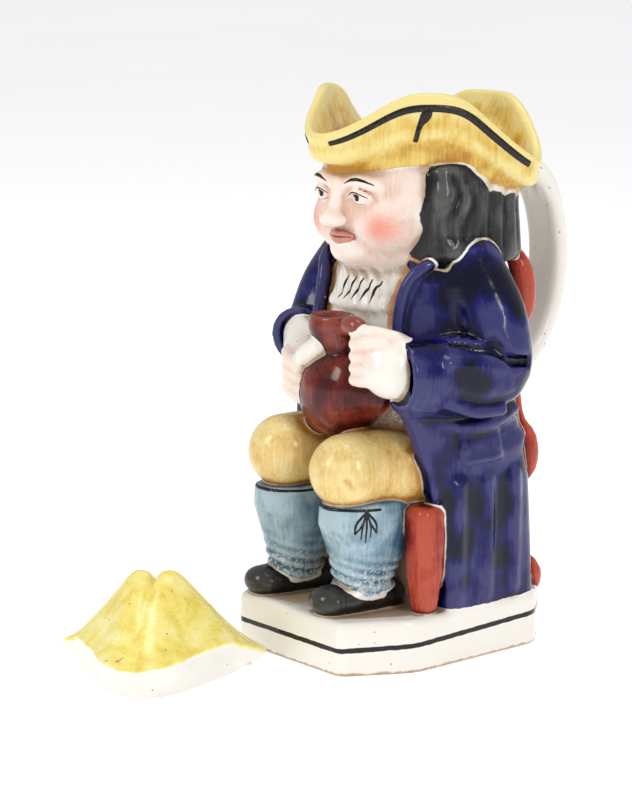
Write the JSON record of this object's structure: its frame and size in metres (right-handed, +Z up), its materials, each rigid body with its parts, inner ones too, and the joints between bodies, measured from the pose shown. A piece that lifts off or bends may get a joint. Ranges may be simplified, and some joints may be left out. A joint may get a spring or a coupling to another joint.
{
  "type": "toby jug",
  "caption": "Hollow earthenware jug shaped as a seated drinker in a three-cornered hat, with a strap handle behind and a loose hat-crown cover beside it.",
  "frame": {"origin": "middle of the jug's flat underside, on the surface it stands on", "axes": "+Z up, -Y the way the sitter faces, +X towards the sitter's left hand; the handle is on +Y"},
  "size_m": [0.1249, 0.2309, 0.2208],
  "materials": {
    "jug_glaze": "clear lead glaze over white earthenware, hand-painted in blue, yellow, flesh, black, grey-blue and red-brown",
    "cover_glaze": "clear glaze over lemon yellow above a white skirt"
  },
  "bodies": {
    "root": {"jug": "jug_glaze", "cover": "cover_glaze"}
  },
  "joints": []
}
